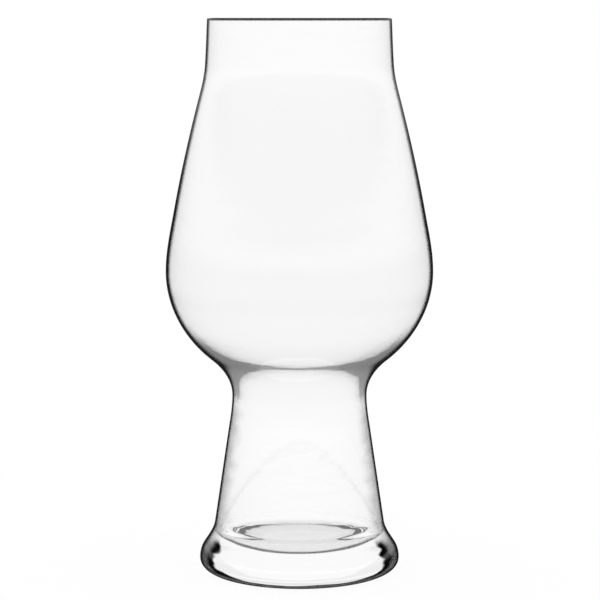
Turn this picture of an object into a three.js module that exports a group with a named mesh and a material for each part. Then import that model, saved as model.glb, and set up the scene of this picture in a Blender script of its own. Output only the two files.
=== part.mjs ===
// IPA beer glass: one piece of blown clear glass.
// A tulip bowl with a short upright lip runs through a waisted neck into a hollow stem,
// which widens downward and flares into a thick rounded foot.
// Bowl and stem are one open hollow, so the drink fills both.

import * as THREE from "three";

// All lengths are millimetres, Z is up, and the foot stands on the plane Z = 0.
// A lean is the wall's angle from upright in degrees: positive where it widens upward.

// Foot: the flat ring that it stands on, its round bulge, and the hollow underside.
const restRingOuterRadius = 25.4;
const restRingWidth = 3;
const undersideDepth = 1.6;
const footRadius = 32.9;
const footBulgeHeight = 4.8;
const flareRadius = 31.6;
const flareHeight = 4.5;
const flareLean = -33.8;

// Stem: a straight taper that rises out of the flare.
const stemFootRadius = 27.9;
const stemFootHeight = 7.4;
const stemLean = -8.5;
const stemLength = 29.2;

// Neck: the narrowest place outside.
const neckRadius = 22.05;
const neckRise = 12.9;

// Bowl: under the belly, over the haunch, at the belly, over the shoulder and up to the lip.
const underBowlRadius = 29;
const underBowlRise = 12.15;
const underBowlLean = 51.8;
const haunchRadius = 37.05;
const haunchRise = 8.45;
const haunchLean = 35.2;
const bellyRadius = 43.65;
const bellyRise = 20.15;
const shoulderRadius = 40.9;
const shoulderRise = 19.8;
const shoulderLean = -10.4;
const collarRadius = 32.65;
const collarRise = 36.6;
const collarLean = -14.7;

// Lip: the almost upright band that ends in the round rim.
const lipFootRadius = 30.55;
const lipFootRise = 10.6;
const lipFootLean = -3.9;
const rimRadius = 29.85;
const rimLean = -2.4;
const lipHeight = 14.75;

// Wall thicknesses, measured square to the outer face.
const rimWall = 0.9;
const bowlWall = 1;
const underBowlWall = 1.8;
const stemFootWall = 1.2;

// Hollow: the throat where bowl and stem meet, and the floor over the solid foot.
const throatRadius = 19.8;
const throatRise = 3.5;
const throatRound = 2.2;
const throatLean = 14.4;
const underBowlInnerLean = 58.4;
const haunchInnerLean = 39.6;
const floorThickness = 7.5;
const floorRadius = 27.9;
const floorRound = 6;
const floorCrown = 0.3;

// Fineness of the mesh.
const segmentsAround = 64;
const chordError = 0.1;
const stepsOverRim = 4;

const clearGlass = new THREE.MeshStandardMaterial({
  color: 0xf2f6f5,
  roughness: 0.03,
  metalness: 0,
  transparent: true,
  opacity: 0.4,
});

function station(radius, height, lean) {
  return { radius, height, lean: THREE.MathUtils.degToRad(lean) };
}

// The point of the inner face that lies one wall thickness in from an outer station.
function inward(outer, wall, lean = outer.lean) {
  return {
    radius: outer.radius - wall * Math.cos(outer.lean),
    height: outer.height + wall * Math.sin(outer.lean),
    lean,
  };
}

// The far end of an arc that bends around a centre on the outer side, such as the throat's.
function bend(from, round, leanDegrees) {
  const lean = THREE.MathUtils.degToRad(leanDegrees);
  return {
    radius: from.radius + round * (Math.cos(from.lean) - Math.cos(lean)),
    height: from.height + round * (Math.sin(lean) - Math.sin(from.lean)),
    lean,
  };
}

// A smooth span between two stations: a cubic whose handles are those of a round arc.
function span(from, to) {
  const start = new THREE.Vector2(from.radius, from.height);
  const end = new THREE.Vector2(to.radius, to.height);
  const chord = start.distanceTo(end);
  const turn = Math.abs(to.lean - from.lean);
  const straight = turn < 1e-3;
  const handle = straight ? chord / 3 : (chord * (2 / 3) * Math.tan(turn / 4)) / Math.sin(turn / 2);
  const along = (lean) => new THREE.Vector2(Math.sin(lean), Math.cos(lean)).multiplyScalar(handle);
  const curve = new THREE.CubicBezierCurve(
    start,
    start.clone().add(along(from.lean)),
    end.clone().sub(along(to.lean)),
    end,
  );
  return pointsAlong(curve);
}

// As many points as keep the chords within chordError of the curve, which may turn back on the way.
function pointsAlong(curve) {
  const tangents = [0, 0.25, 0.5, 0.75, 1].map((t) => curve.getTangent(t));
  const turns = tangents.slice(1).map((tangent, i) => tangent.angleTo(tangents[i]));
  const turned = turns.reduce((sum, turn) => sum + turn, 0);
  const steps = Math.ceil(Math.sqrt((curve.getLength() * turned) / (8 * chordError)));
  return curve.getPoints(Math.max(1, steps));
}

// One face of the glass from its stations, without doubled points where spans meet.
function face(stations) {
  const points = [new THREE.Vector2(stations[0].radius, stations[0].height)];
  for (let i = 1; i < stations.length; i += 1) {
    points.push(...span(stations[i - 1], stations[i]).slice(1));
  }
  return points;
}

function outerStations() {
  const rest = station(restRingOuterRadius, 0, 90);
  const foot = station(footRadius, footBulgeHeight, 0);
  const flare = station(flareRadius, foot.height + flareHeight, flareLean);
  const stemFoot = station(stemFootRadius, flare.height + stemFootHeight, stemLean);
  const taper = Math.tan(stemFoot.lean) * stemLength;
  const stemTop = station(stemFootRadius + taper, stemFoot.height + stemLength, stemLean);
  const neck = station(neckRadius, stemTop.height + neckRise, 0);
  const underBowl = station(underBowlRadius, neck.height + underBowlRise, underBowlLean);
  const haunch = station(haunchRadius, underBowl.height + haunchRise, haunchLean);
  const belly = station(bellyRadius, haunch.height + bellyRise, 0);
  const shoulder = station(shoulderRadius, belly.height + shoulderRise, shoulderLean);
  const collar = station(collarRadius, shoulder.height + collarRise, collarLean);
  const lipFoot = station(lipFootRadius, collar.height + lipFootRise, lipFootLean);
  const rim = station(rimRadius, lipFoot.height + lipHeight, rimLean);
  return {
    rest, foot, flare, stemFoot, stemTop, neck, underBowl, haunch, belly, shoulder, collar, lipFoot, rim,
  };
}

// The hollow from the floor up to the rim.
function innerStations(outer) {
  const throatHeight = outer.neck.height + throatRise;
  const stemBottom = inward(outer.stemFoot, stemFootWall);
  const taper = Math.atan2(throatRadius - stemBottom.radius, throatHeight - stemBottom.height);
  stemBottom.lean = taper;
  const throat = { radius: throatRadius, height: throatHeight, lean: taper };
  return [
    station(floorRadius - floorRound, floorThickness, 90),
    station(floorRadius, floorThickness + floorRound, 0),
    stemBottom,
    throat,
    bend(throat, throatRound, throatLean),
    inward(outer.underBowl, underBowlWall, THREE.MathUtils.degToRad(underBowlInnerLean)),
    inward(outer.haunch, bowlWall, THREE.MathUtils.degToRad(haunchInnerLean)),
    inward(outer.belly, bowlWall),
    inward(outer.shoulder, bowlWall),
    inward(outer.collar, bowlWall),
    inward(outer.lipFoot, rimWall),
    inward(outer.rim, rimWall),
  ];
}

// The half round that closes the rim, between the ends of the outer and the inner face.
function rimRound(outerEnd, innerEnd) {
  const middle = outerEnd.clone().add(innerEnd).divideScalar(2);
  const points = [];
  for (let i = 1; i < stepsOverRim; i += 1) {
    points.push(outerEnd.clone().rotateAround(middle, (Math.PI * i) / stepsOverRim));
  }
  return points;
}

// The closed outline: hollow underside, rest ring, outer face, rim, hollow and floor.
function outline() {
  const outer = outerStations();
  const outerFace = face(Object.values(outer));
  const innerFace = face(innerStations(outer)).reverse();
  const restRingInnerRadius = restRingOuterRadius - restRingWidth;
  const underside = new THREE.QuadraticBezierCurve(
    new THREE.Vector2(0, undersideDepth),
    new THREE.Vector2(restRingInnerRadius / 2, undersideDepth),
    new THREE.Vector2(restRingInnerRadius, 0),
  );
  return [
    ...pointsAlong(underside),
    ...outerFace,
    ...rimRound(outerFace.at(-1), innerFace[0]),
    ...innerFace,
    new THREE.Vector2(0, floorThickness + floorCrown),
  ];
}

const shape = new THREE.LatheGeometry(outline(), segmentsAround);
shape.rotateX(Math.PI / 2);

const glass = new THREE.Mesh(shape, clearGlass);
glass.name = "glass";

const ipaGlass = new THREE.Group();
ipaGlass.add(glass);

export default ipaGlass;
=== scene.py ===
import math

import bpy
import numpy as np
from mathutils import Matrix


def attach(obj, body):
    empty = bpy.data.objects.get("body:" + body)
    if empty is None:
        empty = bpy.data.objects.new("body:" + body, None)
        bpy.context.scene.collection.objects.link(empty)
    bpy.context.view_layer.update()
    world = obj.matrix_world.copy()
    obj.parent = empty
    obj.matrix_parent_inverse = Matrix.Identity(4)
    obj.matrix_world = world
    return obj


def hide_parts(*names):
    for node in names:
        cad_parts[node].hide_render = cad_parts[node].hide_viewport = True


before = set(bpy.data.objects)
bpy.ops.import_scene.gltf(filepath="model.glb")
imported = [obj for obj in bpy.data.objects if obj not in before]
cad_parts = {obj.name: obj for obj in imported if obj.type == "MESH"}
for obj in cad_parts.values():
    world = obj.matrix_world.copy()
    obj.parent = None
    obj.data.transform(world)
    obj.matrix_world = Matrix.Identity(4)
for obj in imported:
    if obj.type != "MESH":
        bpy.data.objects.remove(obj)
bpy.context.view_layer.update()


# The table: a plain white sheet under the glass, lit evenly by the whole studio.
# Near the glass it is matt and takes the soft shadow; farther out it glows as white as the backdrop,
# so that it has no horizon. The glass sees the studio below it instead of the sheet.
TABLE_HALF_WIDTH = 3.0
TABLE_PAPER = (0.96, 0.96, 0.96, 1.0)
TABLE_MATT_RADIUS = 0.05
TABLE_GLOW_RADIUS = 0.20
TABLE_GLOW_NEAR = 0.94


def shader_tree(material):
    """The node tree of a material or world with node shading switched on."""
    material.use_nodes = True
    return material.node_tree


def number(tree, operation, *values):
    """One step of arithmetic: the operation applied to sockets or plain numbers."""
    node = tree.nodes.new("ShaderNodeMath")
    node.operation = operation
    for socket, value in zip(node.inputs, values):
        if isinstance(value, (int, float)):
            socket.default_value = value
        else:
            tree.links.new(value, socket)
    return node.outputs[0]


def rise(tree, value, low, high):
    """A smooth step of value: 0 up to low, 1 from high, and an S curve between them."""
    node = tree.nodes.new("ShaderNodeMapRange")
    node.interpolation_type = "SMOOTHSTEP"
    tree.links.new(value, node.inputs["Value"])
    node.inputs["From Min"].default_value = low
    node.inputs["From Max"].default_value = high
    return node.outputs["Result"]


def between(tree, share, low, high):
    """The value low where share is 0 and high where it is 1, in a straight line between."""
    step = number(tree, "MULTIPLY", share, number(tree, "SUBTRACT", high, low))
    return number(tree, "ADD", low, step)


def paper_material():
    """Matt paper that turns into an even white glow with distance from the middle."""
    material = bpy.data.materials.new("white_sheet")
    tree = shader_tree(material)
    paper = tree.nodes["Principled BSDF"]
    paper.inputs["Base Color"].default_value = TABLE_PAPER
    paper.inputs["Roughness"].default_value = 1.0
    paper.inputs["Specular IOR Level"].default_value = 0.0
    place = tree.nodes.new("ShaderNodeTexCoord")
    radius = tree.nodes.new("ShaderNodeVectorMath")
    radius.operation = "LENGTH"
    tree.links.new(place.outputs["Object"], radius.inputs[0])
    glow = tree.nodes.new("ShaderNodeEmission")
    mix = tree.nodes.new("ShaderNodeMixShader")
    far = rise(tree, radius.outputs["Value"], TABLE_MATT_RADIUS, TABLE_GLOW_RADIUS)
    share = between(tree, far, TABLE_GLOW_NEAR, 1.0)
    tree.links.new(share, mix.inputs[0])
    tree.links.new(paper.outputs[0], mix.inputs[1])
    tree.links.new(glow.outputs[0], mix.inputs[2])
    tree.links.new(mix.outputs[0], tree.nodes["Material Output"].inputs["Surface"])
    return material


corners = [
    (-TABLE_HALF_WIDTH, -TABLE_HALF_WIDTH, 0.0),
    (TABLE_HALF_WIDTH, -TABLE_HALF_WIDTH, 0.0),
    (TABLE_HALF_WIDTH, TABLE_HALF_WIDTH, 0.0),
    (-TABLE_HALF_WIDTH, TABLE_HALF_WIDTH, 0.0),
]
sheet_mesh = bpy.data.meshes.new("table")
sheet_mesh.from_pydata(corners, [], [(0, 1, 2, 3)])
sheet_mesh.materials.append(paper_material())
table = bpy.data.objects.new("table", sheet_mesh)
bpy.context.collection.objects.link(table)
table.visible_transmission = False
table.visible_glossy = False


# The studio: a round white tent, the same from every side, with a dim band just above the horizon that
# only the near wall of the glass shows. The outer face mirrors a dark room with a soft belt of light just
# above the horizon, and the camera and the table see plain white. Heights here are degrees.
BAND_RISE = (-9.0, 1.0)
BAND_FALL = (9.0, 22.0)
BAND_INSIDE = 0.9
BAND_STRAIGHT = 0.80
ROOM_LIGHT = 0.03
SOFT_LIGHT = 0.8
SOFT_LIGHT_RISE = (-2.0, 10.0)
SOFT_LIGHT_FALL = (11.0, 17.0)


def zone(tree, height, over, under):
    """1 on a belt of heights: the smooth step at its lower edge less the one at its upper edge."""
    return number(tree, "SUBTRACT", rise(tree, height, *over), rise(tree, height, *under))


def product(tree, *values):
    """All the values multiplied together."""
    result = values[0]
    for value in values[1:]:
        result = number(tree, "MULTIPLY", result, value)
    return result


def rest(tree, value):
    """One minus the value."""
    return number(tree, "SUBTRACT", 1.0, value)


def at_least(tree, count, least):
    """1 where a whole count has reached the least number, and 0 below it."""
    return number(tree, "GREATER_THAN", count, least - 0.5)


def studio_world():
    """A sky whose strength depends on the height alone, and on the kind of ray that asks."""
    world = bpy.data.worlds.new("studio")
    bpy.context.scene.world = world
    tree = shader_tree(world)
    direction = tree.nodes.new("ShaderNodeTexCoord").outputs["Generated"]
    axes = tree.nodes.new("ShaderNodeSeparateXYZ")
    tree.links.new(direction, axes.inputs[0])
    height = number(tree, "DEGREES", number(tree, "ARCSINE", axes.outputs["Z"]))
    band = zone(tree, height, BAND_RISE, BAND_FALL)
    inside = between(tree, band, 1.0, BAND_INSIDE)
    straight = between(tree, band, 1.0, BAND_STRAIGHT)
    soft = zone(tree, height, SOFT_LIGHT_RISE, SOFT_LIGHT_FALL)
    outside = between(tree, soft, ROOM_LIGHT, SOFT_LIGHT)
    path = tree.nodes.new("ShaderNodeLightPath")
    mirrored = at_least(tree, path.outputs["Glossy Depth"], 1)
    entered = at_least(tree, path.outputs["Transmission Depth"], 1)
    past_near_wall = at_least(tree, path.outputs["Transmission Depth"], 3)
    through = between(tree, past_near_wall, between(tree, mirrored, straight, inside), 1.0)
    seen = between(tree, product(tree, mirrored, rest(tree, entered)), through, outside)
    matt = at_least(tree, path.outputs["Diffuse Depth"], 1)
    plain = number(tree, "MAXIMUM", matt, path.outputs["Is Camera Ray"])
    strength = between(tree, plain, seen, 1.0)
    background = tree.nodes["Background"]
    background.inputs["Color"].default_value = (1.0, 1.0, 1.0, 1.0)
    tree.links.new(strength, background.inputs["Strength"])


studio_world()


# The camera: a long lens a little above the glass, tilted down, so that the rim is seen on edge.
CAMERA_PLACE = (0.00018, -0.764, 0.1818)
CAMERA_TILT_DOWN = 6.847
CAMERA_LENS = 141.05
CAMERA_SENSOR = 36.0

camera_data = bpy.data.cameras.new("camera")
camera_data.lens = CAMERA_LENS
camera_data.sensor_width = CAMERA_SENSOR
camera = bpy.data.objects.new("camera", camera_data)
bpy.context.collection.objects.link(camera)
camera.location = CAMERA_PLACE
camera.rotation_euler = (math.radians(90.0 - CAMERA_TILT_DOWN), 0.0, 0.0)

scene = bpy.context.scene
scene.camera = camera
scene.view_settings.view_transform = "Standard"
scene.cycles.max_bounces = 32
scene.cycles.glossy_bounces = 32
scene.cycles.transmission_bounces = 32


# The glass: one piece of clear glass, blown into a mould that is turned against it, so it is round
# all over. The rim is cut and melted round, and the thick foot is gathered under the hollow stem.
# Sizes are millimetres; a lean is the wall's angle from upright in degrees, positive where it widens.
MILLIMETRE = 0.001
REST_RING_RADIUS = 25.4
REST_RING_WIDTH = 3.0
UNDERSIDE_DEPTH = 1.6
FOOT_RADIUS = 32.9
FOOT_HEIGHT = 4.8
FLARE = (31.6, 9.3, -33.8)
STEM_FOOT = (27.9, 16.7, -8.5)
STEM_TOP_HEIGHT = 45.9
NECK = (22.05, 58.8, 0.0)
UNDER_BOWL = (29.0, 70.95, 51.8)
HAUNCH = (37.05, 79.4, 35.2)
BELLY = (43.65, 99.55, 0.0)
SHOULDER = (40.9, 119.35, -10.4)
COLLAR = (32.65, 155.95, -14.7)
LIP_FOOT = (30.55, 166.55, -3.9)
RIM = (29.85, 181.3, -2.4)
RIM_WALL = 0.9
BOWL_WALL = 1.0
HAUNCH_INNER_LEAN = 39.6
UNDER_BOWL_WALL = 1.8
UNDER_BOWL_INNER_LEAN = 58.4
STEM_FOOT_WALL = 1.2
THROAT_RADIUS = 19.64
THROAT_HEIGHT = 59.2
THROAT_ROUND = 10.0
THROAT_LEAN = 14.4
FLOOR_HEIGHT = 7.5
FLOOR_RADIUS = 27.9
FLOOR_ROUND = 6.0
FLOOR_CROWN = 0.3
PROFILE_STEP = 1.15
PROFILE_TURN = math.radians(3.0)
RIM_STEPS = 12
SEGMENTS_ROUND = 192


def station(radius, height, lean):
    """A place on the wall: its radius, height and lean, with the lean in radians."""
    return np.array([radius, height]), math.radians(lean)


def inward(place, wall, lean=None):
    """The place one wall thickness in, square to the outer face at a station."""
    point, own_lean = place
    step = np.array([-math.cos(own_lean), math.sin(own_lean)]) * wall
    return point + step, own_lean if lean is None else lean


def bend(place, round_radius, lean):
    """The far end of an arc about a centre on the outer side, from the station's lean to another."""
    point, start = place
    end = math.radians(lean)
    across = round_radius * (math.cos(start) - math.cos(end))
    up = round_radius * (math.sin(end) - math.sin(start))
    return point + np.array([across, up]), end


def span(start, end):
    """Points of a cubic between two stations. Its handles lie along the wall and are as long as those of
    a round arc with the same chord and turn: chord times 2/3 times tan(turn/4) over sin(turn/2)."""
    (first, first_lean), (last, last_lean) = start, end
    chord = np.linalg.norm(last - first)
    turn = abs(last_lean - first_lean)
    handle = chord / 3 if turn < 1e-3 else chord * (2 / 3) * math.tan(turn / 4) / math.sin(turn / 2)
    leave = first + handle * np.array([math.sin(first_lean), math.cos(first_lean)])
    arrive = last - handle * np.array([math.sin(last_lean), math.cos(last_lean)])
    steps = max(4, math.ceil(chord / PROFILE_STEP), math.ceil(turn / PROFILE_TURN))
    t = np.linspace(0.0, 1.0, steps + 1)[:, None]
    s = 1.0 - t
    return s**3 * first + 3 * s**2 * t * leave + 3 * s * t**2 * arrive + t**3 * last


def face(stations):
    """The spans between the stations in turn, each without its first point, which the last one holds."""
    spans = [span(a, b) for a, b in zip(stations[:-1], stations[1:])]
    return np.vstack([spans[0][:1]] + [points[1:] for points in spans])


def glass_profile():
    """The half outline as radius and height, from the middle of the underside out over the foot, up
    the outer face, over the round rim and down the inner face to the middle of the hollow's floor."""
    stem_foot = station(*STEM_FOOT)
    taper = math.tan(stem_foot[1]) * (STEM_TOP_HEIGHT - STEM_FOOT[1])
    stem_top = station(STEM_FOOT[0] + taper, STEM_TOP_HEIGHT, STEM_FOOT[2])
    under_bowl, haunch, belly = station(*UNDER_BOWL), station(*HAUNCH), station(*BELLY)
    shoulder, collar = station(*SHOULDER), station(*COLLAR)
    lip_foot, rim = station(*LIP_FOOT), station(*RIM)
    outer = face([
        station(REST_RING_RADIUS, 0.0, 90.0),
        station(FOOT_RADIUS, FOOT_HEIGHT, 0.0),
        station(*FLARE),
        stem_foot,
        stem_top,
        station(*NECK),
        under_bowl,
        haunch,
        belly,
        shoulder,
        collar,
        lip_foot,
        rim,
    ])
    stem_bottom, _ = inward(stem_foot, STEM_FOOT_WALL)
    throat_point = np.array([THROAT_RADIUS, THROAT_HEIGHT])
    hollow_lean = math.atan2(*(throat_point - stem_bottom))
    throat = (throat_point, hollow_lean)
    inner = face([
        station(FLOOR_RADIUS - FLOOR_ROUND, FLOOR_HEIGHT, 90.0),
        station(FLOOR_RADIUS, FLOOR_HEIGHT + FLOOR_ROUND, 0.0),
        (stem_bottom, hollow_lean),
        throat,
        bend(throat, THROAT_ROUND, THROAT_LEAN),
        inward(under_bowl, UNDER_BOWL_WALL, math.radians(UNDER_BOWL_INNER_LEAN)),
        inward(haunch, BOWL_WALL, math.radians(HAUNCH_INNER_LEAN)),
        inward(belly, BOWL_WALL),
        inward(shoulder, BOWL_WALL),
        inward(collar, BOWL_WALL),
        inward(lip_foot, RIM_WALL),
        inward(rim, RIM_WALL),
    ])[::-1]
    middle = (outer[-1] + inner[0]) / 2
    across = outer[-1] - middle
    upright = np.array([-across[1], across[0]])
    angle = np.linspace(0.0, math.pi, RIM_STEPS + 1)[1:-1, None]
    rim_round = middle + across * np.cos(angle) + upright * np.sin(angle)
    ring_inner = REST_RING_RADIUS - REST_RING_WIDTH
    share = np.linspace(0.0, 1.0, math.ceil(ring_inner / PROFILE_STEP) + 1)
    underside = np.column_stack([ring_inner * share, UNDERSIDE_DEPTH * (1 - share**2)])
    floor_edge = FLOOR_RADIUS - FLOOR_ROUND
    share = np.linspace(1.0, 0.0, math.ceil(floor_edge / PROFILE_STEP) + 1)[1:]
    floor = np.column_stack([floor_edge * share, FLOOR_HEIGHT + FLOOR_CROWN * (1 - share**2)])
    return np.vstack([underside, outer, rim_round, inner, floor])


def turned(name, profile, segments):
    """A surface of revolution on a grid of profile points by angles, with one point at each pole."""
    angle = np.arange(segments) * 2 * math.pi / segments
    rings = profile[1:-1]
    grid = np.empty((len(rings), segments, 3))
    grid[..., 0] = rings[:, :1] * np.cos(angle)
    grid[..., 1] = rings[:, :1] * np.sin(angle)
    grid[..., 2] = rings[:, 1:]
    poles = [[0.0, 0.0, profile[0, 1]], [0.0, 0.0, profile[-1, 1]]]
    points = np.vstack([grid.reshape(-1, 3), poles]) * MILLIMETRE
    row = np.arange(len(rings) - 1)[:, None] * segments
    here = np.arange(segments)[None]
    beside = (here + 1) % segments
    walls = np.stack([row + here, row + beside, row + segments + beside, row + segments + here], -1)
    top_row = (len(rings) - 1) * segments
    below = np.full(segments, len(points) - 2)
    above = np.full(segments, len(points) - 1)
    bottom = np.column_stack([below, beside[0], here[0]])
    top = np.column_stack([above, top_row + here[0], top_row + beside[0]])
    mesh = bpy.data.meshes.new(name)
    mesh.from_pydata(points.tolist(), [], walls.reshape(-1, 4).tolist() + bottom.tolist() + top.tolist())
    mesh.shade_smooth()
    piece = bpy.data.objects.new(name, mesh)
    bpy.context.collection.objects.link(piece)
    return piece


RIPPLE_STRETCH = (1.0, 1.0, 4.0)
RIPPLES_PER_METRE = 90.0
RIPPLE_DETAIL = 1.0
RIPPLE_DEPTH = 0.00006


def ripples(tree, place):
    """The soft waves that the turning mould leaves: noise on the object's own axes, four times as close
    upward as around, as a share from 0 to 1 and as the normal of a surface raised by that share."""
    stretch = tree.nodes.new("ShaderNodeMapping")
    stretch.inputs["Scale"].default_value = RIPPLE_STRETCH
    tree.links.new(place, stretch.inputs["Vector"])
    noise = tree.nodes.new("ShaderNodeTexNoise")
    noise.inputs["Scale"].default_value = RIPPLES_PER_METRE
    noise.inputs["Detail"].default_value = RIPPLE_DETAIL
    tree.links.new(stretch.outputs["Vector"], noise.inputs["Vector"])
    bump = tree.nodes.new("ShaderNodeBump")
    bump.inputs["Distance"].default_value = RIPPLE_DEPTH
    tree.links.new(noise.outputs[0], bump.inputs["Height"])
    return noise.outputs[0], bump.outputs["Normal"]


# A pair of values is the start and the end of a smooth step. Heights over the table are metres, and a
# facing is 0 where the wall is seen square and 1 where it is seen on edge.
# Painted shade: the edge line and the belts below darken the glass's base colour where it is seen on edge,
# in place of the dark sides of a room seen in it.
PAINTED_EDGE_LINE = (0.71, 0.83)
PAINTED_EDGE_WAVE = 0.22
BELOW_ALL = (-0.010, -0.005)
ABOVE_ALL = (0.190, 0.191)
ALL_FACINGS = (-0.2, -0.1)
NO_END = (2.0, 3.0)
PAINTED_DARK_EDGES = {
    "foot": {
        "over": BELOW_ALL,
        "under": (0.0100, 0.0145),
        "start": (0.43, 0.49),
        "end": NO_END,
        "amount": 0.88,
    },
    "foot_core": {
        "over": (0.0010, 0.0035),
        "under": (0.0115, 0.0132),
        "start": (0.43, 0.49),
        "end": (0.54, 0.64),
        "amount": 1.0,
    },
    "stem": {
        "over": (0.0095, 0.0150),
        "under": (0.050, 0.060),
        "start": (0.40, 0.75),
        "end": NO_END,
        "amount": 0.40,
    },
    "shelf": {
        "over": (0.056, 0.064),
        "under": (0.074, 0.080),
        "start": (0.46, 0.64),
        "end": NO_END,
        "amount": 0.20,
    },
    # The rim is painted dark at every facing: painted shade for the dark line the rim shows on edge.
    "rim": {
        "over": (0.1807, 0.1811),
        "under": ABOVE_ALL,
        "start": ALL_FACINGS,
        "end": NO_END,
        "amount": 0.95,
    },
}


def light_left_by_painted_edges(tree, height, facing, ripple):
    """The share of light left where the glass is seen on edge, after painted shade: the base colour is
    darkened there to stand in for the dark sides of a room that round glass gathers. It is one minus a
    smooth step of the facing, and the same once more for each belt of heights, whose steps of the facing
    the ripples move to and fro."""
    swing = number(tree, "MULTIPLY", number(tree, "SUBTRACT", ripple, 0.5), PAINTED_EDGE_WAVE)
    wavy = number(tree, "ADD", facing, swing)
    light = rest(tree, rise(tree, facing, *PAINTED_EDGE_LINE))
    for edge in PAINTED_DARK_EDGES.values():
        belt = zone(tree, height, edge["over"], edge["under"])
        turned_away = zone(tree, wavy, edge["start"], edge["end"])
        light = product(tree, light, rest(tree, product(tree, belt, turned_away, edge["amount"])))
    return light


# Painted shade: the bowl and the hollow's floor are greyed in the base colour, and the floor's edge gets a
# dark line.
BOWL_OVER = (0.060, 0.075)
BOWL_UNDER = (0.145, 0.172)
BOWL_SHADE = 0.018
FLOOR_OVER = (0.006, 0.007)
FLOOR_UNDER = (0.0095, 0.0125)
FLOOR_SHADE = 0.33
FLOOR_LINE = (0.11, 0.18)
FLOOR_LINE_UNDER = (0.0135, 0.0150)
FLOOR_LINE_SHADE = 0.98


def glass_light_with_painted_shade(tree, height, facing, inside, path, light):
    """The share of light that the glass lets in, with painted shade in its base colour. The camera gets the
    square of the edge light, because a colour tints what passes by its root. Painted shade draws a fine
    dark line at the edge of the hollow's floor from within, makes the floor greyer through the hollow, and
    the bowl greyer by a breath."""
    edge = product(tree, zone(tree, height, FLOOR_OVER, FLOOR_LINE_UNDER), rise(tree, facing, *FLOOR_LINE))
    first_step = rest(tree, at_least(tree, path.outputs["Ray Depth"], 2))
    line = product(tree, edge, first_step, inside, FLOOR_LINE_SHADE)
    light = between(tree, path.outputs["Is Camera Ray"], rest(tree, line), product(tree, light, light))
    bowl = zone(tree, height, BOWL_OVER, BOWL_UNDER)
    bowl_light = between(tree, bowl, 1.0, 1.0 - BOWL_SHADE)
    walls = path.outputs["Transmission Depth"]
    from_hollow = product(tree, at_least(tree, walls, 2), rest(tree, at_least(tree, walls, 3)))
    floor = product(tree, zone(tree, height, FLOOR_OVER, FLOOR_UNDER), from_hollow, rest(tree, inside))
    floor_light = between(tree, floor, 1.0, 1.0 - FLOOR_SHADE)
    return product(tree, light, bowl_light, floor_light)


# Light is let out freely where its last way through the neck's wall is shorter than the neck's way, in
# metres. A leak is the share of trapped light that leaves unbent, and mirrors are how often it turned back.
NECK_OVER = (0.056, 0.065)
NECK_UNDER = (0.088, 0.096)
NECK_MIRRORS = 1
NECK_WAY = (0.0008, 0.0018)
NECK_LEAK = 0.42
SHELF_OVER = (0.064, 0.070)
SHELF_LEAK = 0.33
FOOT_UNDER = (0.016, 0.020)
FLOOR_MIRRORS = 5
FLOOR_LEAK = 0.12
FACE_MIRRORS = 2


def trapped_light(tree, height, inside, path):
    """What becomes of light that the walls mirror inside the glass, as two shares: how much leaves unbent
    at once, and how much of the rest a black coat swallows as painted shade. The neck holds it after its
    first mirror and the foot's floor after five, and both let little out. Below the neck it leaves freely
    after two."""
    mirrors = path.outputs["Glossy Depth"]
    walls = path.outputs["Transmission Depth"]
    near = product(tree, inside, rest(tree, at_least(tree, walls, 2)))
    far = product(tree, inside, at_least(tree, walls, 3))
    neck_belt = zone(tree, height, NECK_OVER, NECK_UNDER)
    neck = product(tree, near, neck_belt, at_least(tree, mirrors, NECK_MIRRORS))
    foot = rest(tree, rise(tree, height, *FOOT_UNDER))
    floor = product(tree, far, foot, at_least(tree, mirrors, FLOOR_MIRRORS))
    below_neck = rest(tree, rise(tree, height, *NECK_OVER))
    free = product(tree, near, below_neck, at_least(tree, mirrors, FACE_MIRRORS))
    neck_leak = between(tree, rise(tree, height, *SHELF_OVER), NECK_LEAK, SHELF_LEAK)
    neck_leak = between(tree, rise(tree, path.outputs["Ray Length"], *NECK_WAY), 1.0, neck_leak)
    leak = number(tree, "MAXIMUM", product(tree, neck, neck_leak), product(tree, floor, FLOOR_LEAK))
    return number(tree, "MAXIMUM", leak, free), number(tree, "MAXIMUM", neck, floor)


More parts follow.
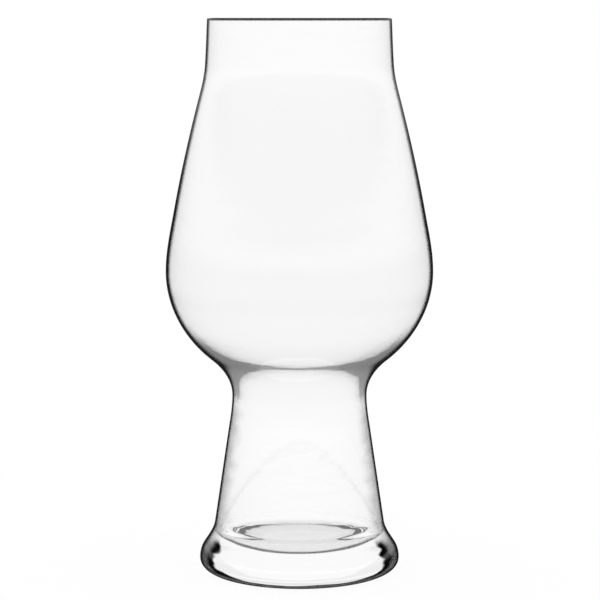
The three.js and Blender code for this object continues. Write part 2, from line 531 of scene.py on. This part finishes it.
GLASS_INDEX = 1.5
GLASS_TINT = (0.995, 0.997, 0.995, 1.0)
NO_LIGHT = (0.0, 0.0, 0.0, 1.0)
COAT_INDEX = 1.0
EVEN_BLEND = 0.5


def clear_glass():
    """Clear glass with soft ripples, with painted shade where it is seen on edge and where light is trapped
    in it:
    a darkened base colour and a black coat. Alpha lets the trapped light out unbent, and the black coat
    without gloss swallows what stays."""
    material = bpy.data.materials.new("clear_glass")
    tree = shader_tree(material)
    glass = tree.nodes["Principled BSDF"]
    glass.inputs["Roughness"].default_value = 0.0
    glass.inputs["IOR"].default_value = GLASS_INDEX
    glass.inputs["Transmission Weight"].default_value = 1.0
    glass.inputs["Coat IOR"].default_value = COAT_INDEX
    glass.inputs["Coat Tint"].default_value = NO_LIGHT
    place = tree.nodes.new("ShaderNodeTexCoord").outputs["Object"]
    axes = tree.nodes.new("ShaderNodeSeparateXYZ")
    tree.links.new(place, axes.inputs[0])
    height = axes.outputs["Z"]
    view = tree.nodes.new("ShaderNodeLayerWeight")
    view.inputs["Blend"].default_value = EVEN_BLEND
    facing = view.outputs["Facing"]
    inside = tree.nodes.new("ShaderNodeNewGeometry").outputs["Backfacing"]
    path = tree.nodes.new("ShaderNodeLightPath")
    ripple, normal = ripples(tree, place)
    tree.links.new(normal, glass.inputs["Normal"])
    light = light_left_by_painted_edges(tree, height, facing, ripple)
    light = glass_light_with_painted_shade(tree, height, facing, inside, path, light)
    # The base colour carries the painted shade: it runs to black where the light share falls to 0.
    colour = tree.nodes.new("ShaderNodeMix")
    colour.data_type = "RGBA"
    tree.links.new(light, colour.inputs["Factor"])
    colour.inputs["A"].default_value = NO_LIGHT
    colour.inputs["B"].default_value = GLASS_TINT
    tree.links.new(colour.outputs["Result"], glass.inputs["Base Color"])
    leak, painted_shade_coat = trapped_light(tree, height, inside, path)
    tree.links.new(rest(tree, leak), glass.inputs["Alpha"])
    # Painted shade: a black coat darkens light trapped in the neck and the foot's floor.
    tree.links.new(painted_shade_coat, glass.inputs["Coat Weight"])
    return material


glass = turned("drinking_glass", glass_profile(), SEGMENTS_ROUND)
glass.data.materials.append(clear_glass())
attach(glass, "root")
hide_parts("glass")
